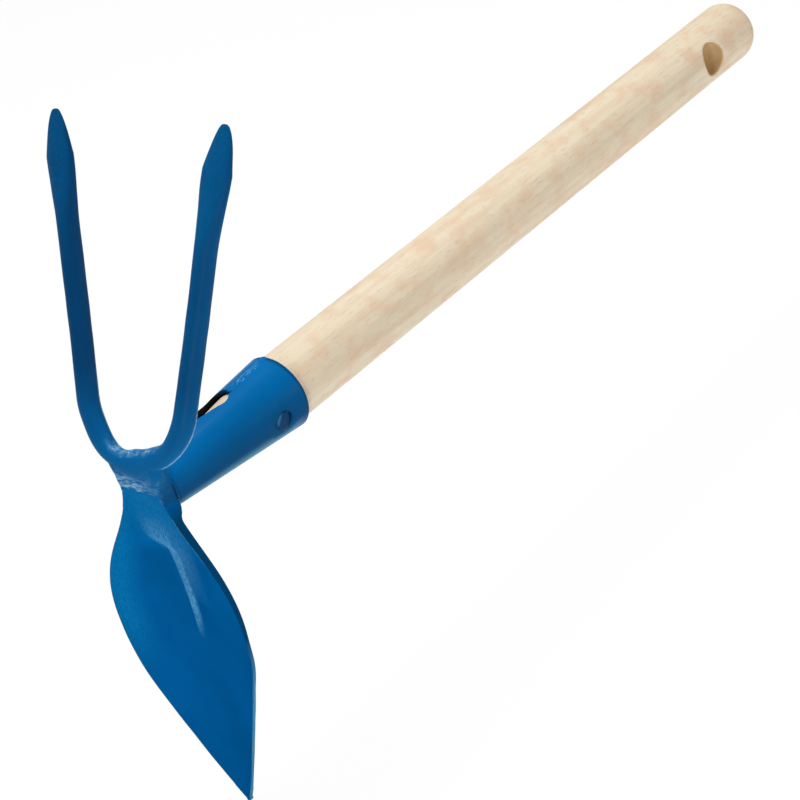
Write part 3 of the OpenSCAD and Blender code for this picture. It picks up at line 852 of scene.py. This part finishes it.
def seam_ring(t, sides=14):
    """A ring of the bead, uneven at the slot where t is 0 and smooth at the mouth where t is 1."""
    x = -(SLOT_FROM_MOUTH + SEAM_OVERRUN) * (1 - t)
    end = math.sqrt(max(SEAM_END_LEAST, 1 - (1 - clamp01(t / SEAM_END)) ** 2))
    uneven = SEAM_RIPPLE * math.cos(2 * math.pi * SEAM_RIPPLES * t)
    uneven += SEAM_LUMP * noise.noise((x / SEAM_LUMP_LEN, 3.1, 0.4))
    size = end * (1 + (1 - t) * uneven)
    out = skin_radius(x) - SEAM_SUNK
    ring = []
    for a in (2 * math.pi * k / sides for k in range(sides)):
        r = out + SEAM_H * size * math.sin(a)
        turn = SLOT_TURN + (SEAM_ACROSS + SEAM_W * size * math.cos(a)) / out
        lead = SEAM_LEAD * (1 - t) * math.cos(a) ** 2
        ring.append(Vector((x - lead, r * math.sin(turn), r * math.cos(turn))))
    return ring


def seam_piece():
    steps = SEAM_RIPPLES * 6
    bm = loft([seam_ring(i / steps) for i in range(steps + 1)])
    return finish_piece("seam_bead", bm, "seam_weld", [seam_enamel], sharp=70)


seam_piece()


# Nail with a slightly domed head, sunk in the socket's hole


def nail_piece():
    shares = [i / 6 for i in range(6)]
    profile = [(NAIL_OUT - NAIL_DOME * share**2, NAIL_HEAD_R * share) for share in shares] + [
        (NAIL_OUT - NAIL_EDGE_FROM, NAIL_HEAD_R - NAIL_EDGE_R),
        (NAIL_OUT - NAIL_EDGE_TO, NAIL_HEAD_R),
        (NAIL_IN, NAIL_HEAD_R),
        (NAIL_IN, NAIL_SHANK_R),
        (NAIL_IN - NAIL_LEN + NAIL_POINT, NAIL_SHANK_R),
        (NAIL_IN - NAIL_LEN, 0.0),
    ]
    bm = lathe(profile, HANDLE_WAY * NAIL_X, NAIL_OUTWARD, HANDLE_WAY, NAIL_STEPS)
    for v in bm.verts:
        if v.co.dot(NAIL_OUTWARD) > NAIL_IN + 0.1:
            v.co -= NAIL_OUTWARD * NAIL_TILT * (v.co.x - NAIL_X)
    return finish_piece("nail", bm, "fixing_nail", [nail_enamel])


nail_piece()


# Fork: one bar bent round, flattened to a spear point at each end


def soft(c, softness=CORNER_SOFT):
    """A sine or cosine pushed out, so that a round section turns into a square one with soft corners."""
    return math.copysign(abs(c) ** softness, c)


def fork_point(across, up, off):
    """A point of the fork, from its place in the fork's leaning plane and its distance in front of it."""
    x = FORK_X + up * math.sin(LEAN) - off * math.cos(LEAN)
    return Vector((x, across, FORK_RISE + up * math.cos(LEAN) + off * math.sin(LEAN)))


def bar_width(d):
    return BAR_W + (BEND_W - BAR_W) * hump(d, 0.0, BEND_SPREAD)


def bar_middle(d):
    """Middle and outward way of the bar, at a distance along it from the middle of the bend."""
    side = side_of(d)
    tine = TINES[side]
    a = min(abs(d), ARC_LEN) / BEND_R
    out = Vector((side * math.sin(a), -math.cos(a)))
    onward = Vector((side * math.cos(a), math.sin(a)))
    mid = Vector((side * BEND_R * math.sin(a), BEND_R * (1 - math.cos(a))))
    mid += onward * max(0.0, abs(d) - ARC_LEN)
    mid += onward * tine["longer"] * ease((abs(d) - LONGER_FROM) / LONGER_RUN)
    mid += out * SAG * hump(d, SAG_AT, SAG_AT)
    mid.x -= side * CLOSER * ease((abs(d) - tine["closer_from"]) / CLOSER_RUN)
    mid.x -= side * tine["spear_in"] * ease((abs(d) - SPEAR_IN_FROM) / SPEAR_IN_RUN)
    mid.x -= tine["tip_right"] * ease(1 - (HALF_PATH - abs(d)) / SPEAR_LEN)
    return mid, out


def bar_sizes(d):
    """Half widths of the bar to its outside and its inside, and its half thickness."""
    to_tip = max(0.0, HALF_PATH - abs(d))
    if to_tip < SPEAR_LEN:
        share = to_tip / SPEAR_LEN
        half_w = TIP_R + (SPEAR_W / 2 - TIP_R) * share**TIP_FULL
        half_t = TIP_T + (SPEAR_T / 2 - TIP_T) * share
    else:
        spread = 1 - ease((to_tip - SPEAR_LEN) / SPEAR_BLEND)
        coat = COAT * ease((abs(d) - COAT_FROM) / COAT_RUN) * (1 - spread) + lumps(d, COAT_LUMPS)
        bar_w = bar_width(d)
        half_w = coat + (bar_w + (SPEAR_W - bar_w) * spread) / 2
        half_t = coat + (BAR_T + (SPEAR_T - BAR_T) * spread) / 2
    half_w += lumps(d, OUTER_LUMPS)
    return half_w, half_w + lumps(d, INNER_LUMPS), half_t


def fork_ring(d, sides=36):
    mid, out = bar_middle(d)
    half_w, inner_w, half_t = bar_sizes(d)
    back = TINES[side_of(d)]["back"] * ease((abs(d) - BACK_FROM) / BACK_RUN)
    ring = []
    for t in (2 * math.pi * (k + 0.5) / sides for k in range(sides)):
        place = mid + out * (half_w if math.cos(t) > 0 else inner_w) * soft(math.cos(t), COATED_SOFT)
        ring.append(fork_point(place.x, place.y, half_t * soft(math.sin(t), COATED_SOFT) - back))
    return ring


def fork_piece():
    shoulder = HALF_PATH - SPEAR_LEN
    blend_from = shoulder - SPEAR_BLEND
    half = (
        [ARC_LEN * i / 30 for i in range(1, 31)]
        + [ARC_LEN + (blend_from - ARC_LEN) * i / 24 for i in range(1, 25)]
        + [blend_from + SPEAR_BLEND * i / 12 for i in range(1, 13)]
        + [shoulder + SPEAR_LEN * (1 - (1 - i / 14) ** 1.5) for i in range(1, 15)]
    )
    bm = loft([fork_ring(d) for d in [-d for d in reversed(half)] + [0.0] + half])
    dent(bm, FORK_MARK, FORK_MARK_DEPTH)
    return finish_piece("fork_bar", bm, "fork", [fork_enamel], sharp=60)


fork_piece()


# Blade: a leaf drawn out of a thick neck, dished along a crease


def under_bend(y):
    """Height in the fork's plane of the bar's underside, with the weld's gap, at a place across the bend."""
    half = BEND_W / 2
    for _ in range(3):
        half = bar_width(BEND_R * math.asin(y / (BEND_R + half))) / 2
    return BEND_R - math.sqrt((BEND_R + half + WELD_GAP) ** 2 - y**2)


BAR_BELOW = max(
    BEND_W / 2 * soft(math.cos(a)) * math.cos(LEAN) + BAR_T / 2 * soft(math.sin(a)) * math.sin(LEAN)
    for a in (2 * math.pi * k / 80 for k in range(80))
)
LEDGE = FORK_RISE - BAR_BELOW - WELD_GAP
HEEL_TOP = max(FRONT_OUT, LEDGE) + HEEL_OVER
HEEL_FRONT = NECK_BACK - HEEL_T
LEAF_TOP = LEDGE_T - LEDGE


def flare_share(h):
    return (h - FLARE_AT) / (WIDEST_AT - FLARE_AT)


def blade_half(h):
    """Half width of the neck and the leaf at a depth below the handle's axis."""
    if h < WIDEST_AT:
        neck = (NECK_TOP_W + (NECK_W - NECK_TOP_W) * clamp01((h + LEDGE) / (FLARE_AT + LEDGE))) / 2
        flare = NECK_W / 2 + (BLADE_W - NECK_W) / 2 * math.sin(math.pi / 2 * flare_share(h))
        k = WAIST_ROUND * (1 - clamp01(flare_share(h)))
        return (neck + flare + math.sqrt((neck - flare) ** 2 + k * k)) / 2
    t = clamp01((h - WIDEST_AT) / (BLADE_DROP - WIDEST_AT))
    return max(BLADE_TIP_R, BLADE_W / 2 * (1 - t) * (1 + t * (BELLY + SHOULDER * (1 - t) ** 3)))


def blade_thick(h, s):
    step_at = STEP_MID + (STEP_SIDE - STEP_MID) * s * s
    root = (ROOT_T - BLADE_T) * (1 - clamp01(h / ROOT_FADE))
    return BLADE_T + root + (NECK_T - ROOT_T) * (1 - ease((h - step_at) / STEP_LEN))


def crease_place(h):
    below_neck = ease((h - CREASE_SIDE_FROM) / CREASE_SIDE_RUN)
    return CREASE_SIDE * below_neck * ease((CREASE_SIDE_TO - h) / CREASE_SIDE_FADE)


def leaf_aside(h):
    lower = ease((h - LEAF_SIDE_FROM) / LEAF_SIDE_RUN)
    return LEAF_SIDE * lower * (1 - TIP_RETURN * ease((h - TIP_RETURN_FROM) / TIP_RETURN_RUN))


def blade_front(h, s):
    """Place along the handle of the blade's front, at a depth and a share of the half width."""
    plain = NECK_FRONT + math.tan(RAKE) * max(0.0, h - FLARE_AT)
    edge = plain - EDGE_BOW * math.sin(math.pi * clamp01((h - FLARE_AT) / (BLADE_DROP - FLARE_AT)))
    share = clamp01((h - HOLLOW_FROM) / (BLADE_DROP - HOLLOW_FROM))
    middle = plain + HOLLOW * math.sin(math.pi * math.sqrt(share)) * ease((h - HOLLOW_FROM) / HOLLOW_RAMP)
    crease = CREASE_SHARP + (CREASE_SOFT - CREASE_SHARP) * ease((h - CREASE_FROM) / (CREASE_TO - CREASE_FROM))
    return middle + (edge - middle) * abs(s) ** crease


def heel_ring(shares, x, height, follow):
    """A ring of the neck's top, which rises to both sides as the bar above it does."""
    ys = [s * NECK_TOP_W / 2 for s in shares]
    lift = [(y, under_bend(y) - under_bend(0.0)) for y in ys]
    front = [Vector((x + follow * r * math.sin(LEAN), y, height + r * math.cos(LEAN))) for y, r in lift]
    back = [Vector((NECK_BACK, y, height + r * math.cos(LEAN))) for y, r in reversed(lift)]
    return front + back


def leaf_ring(shares, h):
    half, crease, aside = blade_half(h), crease_place(h), leaf_aside(h)
    front = []
    for s in shares:
        width = half + lumps(h, GROUND[side_of(s)]) - side_of(s) * crease
        front.append(Vector((blade_front(h, s), aside + crease + width * s, -h)))
    back = [q + Vector((blade_thick(h, (q.y - aside) / half), 0, 0)) for q in reversed(front)]
    return front + back


def blade_piece():
    shares = [math.copysign(abs(j / 24) ** 1.15, j) for j in range(-24, 25)]
    tops = [(HEEL_FRONT, HEEL_TOP, 0.5), (HEEL_FRONT, LEDGE, 0.5), (NECK_FRONT, LEDGE - WELD_GAP, 0.0)]
    depths = [LEAF_TOP + (FLARE_AT - LEAF_TOP) * i / 14 for i in range(14)]
    depths += [FLARE_AT + (BLADE_DROP - TIP_SPARE - FLARE_AT) * (i / 110) ** 1.1 for i in range(111)]
    bm = loft([heel_ring(shares, *top) for top in tops] + [leaf_ring(shares, h) for h in depths])
    soften(bm, BLADE_EDGE, 2, 55)
    dent(bm, BLADE_MARK, BLADE_MARK_DEPTH, lambda p: TIP_PLAIN - BLADE_DROP < p.z < -FLARE_AT)
    return finish_piece("blade_leaf", bm, "blade", [blade_enamel], sharp=60)


blade_piece()


# Weld beads, rippled as they were laid


def swell(p, pull, q, steps):
    """A curve between two points that is drawn towards a third."""
    ts = [i / steps for i in range(steps + 1)]
    return [p * (1 - t) ** 2 + pull * 2 * t * (1 - t) + q * t * t for t in ts]


def blend(p, p_pull, q_pull, q, steps):
    """A curve that leaves both ends in the direction of their pulls."""
    curve = []
    for t in (i / steps for i in range(steps + 1)):
        near_p = p * (1 - t) ** 3 + p_pull * 3 * t * (1 - t) ** 2
        curve.append(near_p + q_pull * 3 * t * t * (1 - t) + q * t**3)
    return curve


def on_bar(d, angle, lift):
    """A point over the bar's skin near the bend, from its underside round to its front."""
    mid, out = bar_middle(d)
    half_w, _, half_t = bar_sizes(d)
    place = mid + out * (half_w * soft(math.cos(angle), COATED_SOFT) + lift)
    return fork_point(place.x, place.y, half_t * soft(math.sin(angle), COATED_SOFT) + lift)


def frozen_lump(q):
    """How far the weld froze out or in at a point, in slanting ridges a few millimetres wide."""
    slant = q.y + 0.8 * q.z
    coarse = noise.noise((slant / 2.4, q.z / 4.0, q.x / 3.0))
    return BEAD_LUMP * (coarse + 0.4 * noise.noise((slant / 1.2, q.z / 2.0, 7.0)))


def neck_bead_ring(u, around=18):
    """A section of the neck's bead, from its toe on the neck up to the bar and back inside the weld."""
    side = side_of(u)
    turn = clamp01((abs(u) - BEAD_FRONT) / (BEAD_CORNER - BEAD_FRONT))
    back = clamp01((abs(u) - BEAD_CORNER) / (BEAD_END - BEAD_CORNER))
    toe = BEAD_TOE + TOE_TILT * side * min(1.0, abs(u)) - TOE_CORNER_DROP * turn - TOE_BACK_DROP * ease(back)
    toe += TOE_WAVER * noise.noise((3 * u, 4.4, 0.0))
    y = (blade_half(-toe) - NECK_CORNER) * min(1.0, abs(u) / BEAD_FRONT)
    outward = Vector((-math.cos(turn * math.pi / 2), side * math.sin(turn * math.pi / 2), 0))
    foot = Vector((NECK_FRONT + NECK_CORNER + TOE_RUN_BACK * back, side * y, toe))
    foot += outward * (NECK_CORNER - TOE_SUNK + TOE_CORNER_OUT * math.sin(turn * math.pi))
    rise = Vector((0, -TOE_LEAN * side * turn, 1.0))
    along = side * (TOP_SHARE * y + TOP_CORNER_RUN * ease(turn) - TOP_BACK_RETURN * back)
    angle = math.radians(TOP_ANGLE - TOP_CORNER_TURN * ease(turn) - TOP_BACK_TURN * back)
    top = on_bar(along, angle, -TOP_SUNK)
    down_bar = Vector((-math.sin(LEAN), 0, -math.cos(LEAN)))
    to_bend = (on_bar(along - side, angle, -TOP_SUNK) - top).normalized()
    fall = down_bar.lerp(to_bend, ease(turn))
    full = BEAD_FULL + (BEAD_FULL_SIDE - BEAD_FULL) * ease(turn)
    plain = blend(foot, foot + rise * BEAD_FULL, top + fall * full, top, around)
    swollen = [math.sin(math.pi * j / around) for j in range(around + 1)]
    skin = [q + outward * share * frozen_lump(q) for share, q in zip(swollen, plain)]
    root_x = NECK_FRONT + ROOT_IN + NECK_CORNER * turn + ROOT_RUN_BACK * back
    root_z = on_bar(TOP_SHARE * side * y, 0, 0).z + ROOT_UP
    root = Vector((root_x, side * (y - ROOT_CORNER_IN * turn), root_z))
    end = math.sqrt(max(BEAD_END_LEAST, 1 - clamp01((back - 1 + BEAD_TAPER) / BEAD_TAPER) ** 2))
    return [root + (q - root) * end for q in skin + [root]]


def neck_bead_piece():
    """The bead round the neck under the bend: a smooth lumpy fill from the bar down to a toe on the neck."""
    steps = 160
    bm = loft([neck_bead_ring(BEAD_END * (2 * i / steps - 1)) for i in range(steps + 1)])
    return finish_piece("neck_bead", bm, "neck_weld", [weld_enamel], sharp=80)


def socket_bead_ring(a):
    """A section of the bead in the corner between the socket's end and the back of the neck."""
    uneven = SOCKET_RIPPLE * math.cos(SOCKET_RIPPLES * a)
    uneven += SOCKET_LUMP * noise.noise((2.4 * math.cos(a), 2.4 * math.sin(a), 1.7))
    leg = SOCKET_BEAD + uneven
    corner = Vector((FRONT_OUT + WELD_GAP, NECK_BACK + WELD_GAP))
    on_neck = corner + Vector((leg, 0))
    on_socket = corner + Vector((CONE_SLOPE * leg, leg))
    pull = corner + Vector((leg, leg)) * SOCKET_BEAD_FULL
    section = [corner] + swell(on_socket, pull, on_neck, 9)
    return [hammered_up(Vector((p.y, p.x * math.cos(a), p.x * math.sin(a)))) for p in section]


def socket_bead_piece():
    steps = SOCKET_RIPPLES * 6
    bm = loft([socket_bead_ring(2 * math.pi * i / steps) for i in range(steps)], closed=True)
    return finish_piece("socket_bead", bm, "socket_weld", [head_enamel], sharp=80)


neck_bead_piece()
socket_bead_piece()


# Floor, light and camera

WHITE = paint("#FFFFFF")
FLOOR_GAP = 0.0005
CAMERA_PLACE = (-0.5420, -0.6335, 0.4389)
CAMERA_LOOK = Vector((0.605, 0.635, -0.481)).normalized()
CAMERA_UP = Vector((0.515, 0.150, 0.844))


def floor_piece():
    """A pale floor that is white to the camera and still takes the tool's shadow."""
    bm = bmesh.new()
    bmesh.ops.create_grid(bm, x_segments=4, y_segments=4, size=6.0)
    bmesh.ops.translate(bm, vec=(0, 0, cad_box[0].z - FLOOR_GAP), verts=bm.verts)
    mesh = bpy.data.meshes.new("floor")
    bm.to_mesh(mesh)
    bm.free()
    material, tree = start_material("white_floor")
    tree.nodes.remove(tree.nodes["Principled BSDF"])
    rays = add(tree, "LightPath").outputs
    seen = add(tree, "Math", rays["Is Camera Ray"], rays["Is Glossy Ray"], operation="MAXIMUM")
    share = add(tree, "Math", seen, 0.93, operation="MULTIPLY")
    matt = add(tree, "BsdfDiffuse", {"Color": paint("#F4F4F4")})
    glow = add(tree, "Emission", {"Color": WHITE, "Strength": 1.0})
    connect(tree, tree.nodes["Material Output"], {"Surface": add(tree, "MixShader", share, matt, glow)})
    mesh.materials.append(material)
    floor = bpy.data.objects.new("floor", mesh)
    bpy.context.scene.collection.objects.link(floor)


def soft_box(name, place, size, power, target=(0.0, 0.0, 0.0)):
    data = bpy.data.lights.new(name, "AREA")
    data.shape = "DISK"
    data.size = size
    data.energy = power
    lamp = bpy.data.objects.new(name, data)
    lamp.location = place
    lamp.rotation_euler = (Vector(target) - Vector(place)).to_track_quat("-Z", "Y").to_euler()
    bpy.context.scene.collection.objects.link(lamp)


def studio_world():
    """A white room to the camera that lights the tool only dimly."""
    world = bpy.data.worlds.new("studio")
    bpy.context.scene.world = world
    world.use_nodes = True
    tree = world.node_tree
    seen = add(tree, "LightPath").outputs["Is Camera Ray"]
    level = add(tree, "MapRange", seen, 0.0, 1.0, 0.3, 1.0)
    connect(tree, tree.nodes["Background"], {"Color": WHITE, "Strength": level})


def photo_camera():
    data = bpy.data.cameras.new("camera")
    data.lens = 110.25
    data.sensor_width = 36.0
    data.clip_start, data.clip_end = 0.05, 50.0
    camera = bpy.data.objects.new("camera", data)
    right = CAMERA_LOOK.cross(CAMERA_UP).normalized()
    turn = Matrix((right, right.cross(CAMERA_LOOK), -CAMERA_LOOK)).transposed().to_4x4()
    camera.matrix_world = Matrix.Translation(CAMERA_PLACE) @ turn
    bpy.context.scene.collection.objects.link(camera)
    bpy.context.scene.camera = camera


floor_piece()
studio_world()
soft_box("overhead", (0.1, 0.3, 1.2), size=0.8, power=19.0)
soft_box("low_front", (-0.85, -0.5, 0.0), size=0.24, power=3.8)
soft_box("rim", (0.05, -0.9, -0.06), size=0.14, power=0.9)
soft_box("handle_fill", (0.42, -0.55, 0.12), size=0.25, power=0.75, target=(0.25, 0.0, 0.0))
photo_camera()
bpy.context.scene.view_settings.view_transform = "Standard"
